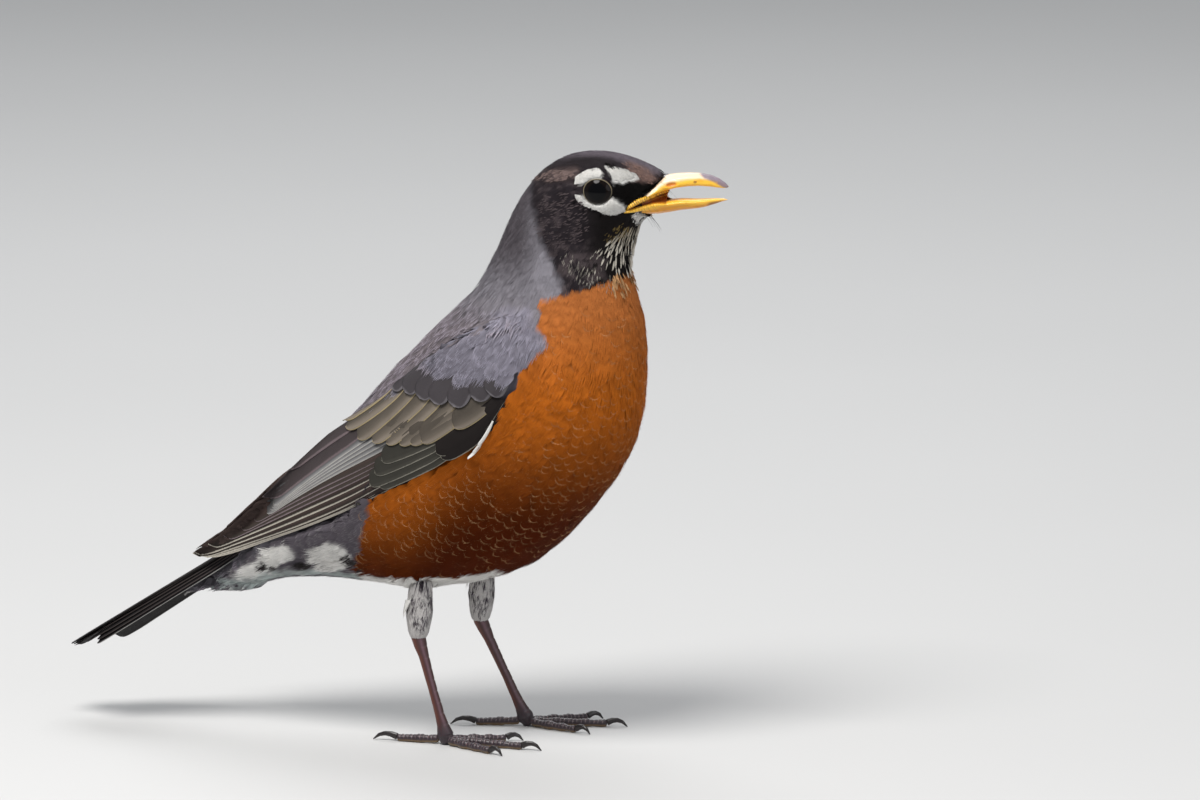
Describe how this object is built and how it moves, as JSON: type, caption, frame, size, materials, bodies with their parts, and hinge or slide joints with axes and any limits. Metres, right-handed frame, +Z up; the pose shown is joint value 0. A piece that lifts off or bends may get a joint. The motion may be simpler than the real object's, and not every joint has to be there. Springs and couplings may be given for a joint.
{
  "type": "american robin",
  "caption": "Life-size standing songbird model, bill slightly open, wings folded, tail low, balanced on its two feet.",
  "frame": {"origin": "middle of the bird's bounding box, on the floor it stands on", "axes": "+X forward towards the bill, +Y to the bird's left, +Z up"},
  "size_m": [0.2022, 0.0662, 0.1764],
  "materials": {
    "plumage_head": "soft matt feathers, near black with white marks",
    "plumage_neck": "soft matt feathers, slate grey",
    "plumage_breast": "soft matt feathers, rufous orange with pale fringes",
    "plumage_rump": "soft matt feathers, grey above and white below",
    "plumage_wing": "smooth matt feathers, brown grey",
    "plumage_leg": "short soft feathers, white with grey streaks",
    "flight_feathers": "stiff satin feathers, blackish brown with pale edges",
    "bill": "horn, yellow orange, satin",
    "eye": "glossy, near black",
    "leg_scales": "scaled skin, dark purple brown, satin",
    "claw": "horn, blackish, satin"
  },
  "bodies": {
    "root": {"head": "plumage_head", "neck": "plumage_neck", "trunk": "plumage_breast", "rump": "plumage_rump", "tail": "flight_feathers", "bill_upper": "bill", "bill_lower": "bill", "eye_left": "eye", "wing_coverts_left": "plumage_wing", "wing_secondaries_left": "flight_feathers", "wing_primaries_left": "flight_feathers", "wing_tip_left": "flight_feathers", "thigh_left": "plumage_leg", "tarsus_left": "leg_scales", "toe_back_left": "leg_scales", "claw_back_left": "claw", "toe_inner_left": "leg_scales", "claw_inner_left": "claw", "toe_middle_left": "leg_scales", "claw_middle_left": "claw", "toe_outer_left": "leg_scales", "claw_outer_left": "claw", "eye_right": "eye", "wing_coverts_right": "plumage_wing", "wing_secondaries_right": "flight_feathers", "wing_primaries_right": "flight_feathers", "wing_tip_right": "flight_feathers", "thigh_right": "plumage_leg", "tarsus_right": "leg_scales", "toe_back_right": "leg_scales", "claw_back_right": "claw", "toe_inner_right": "leg_scales", "claw_inner_right": "claw", "toe_middle_right": "leg_scales", "claw_middle_right": "claw", "toe_outer_right": "leg_scales", "claw_outer_right": "claw"}
  },
  "joints": []
}
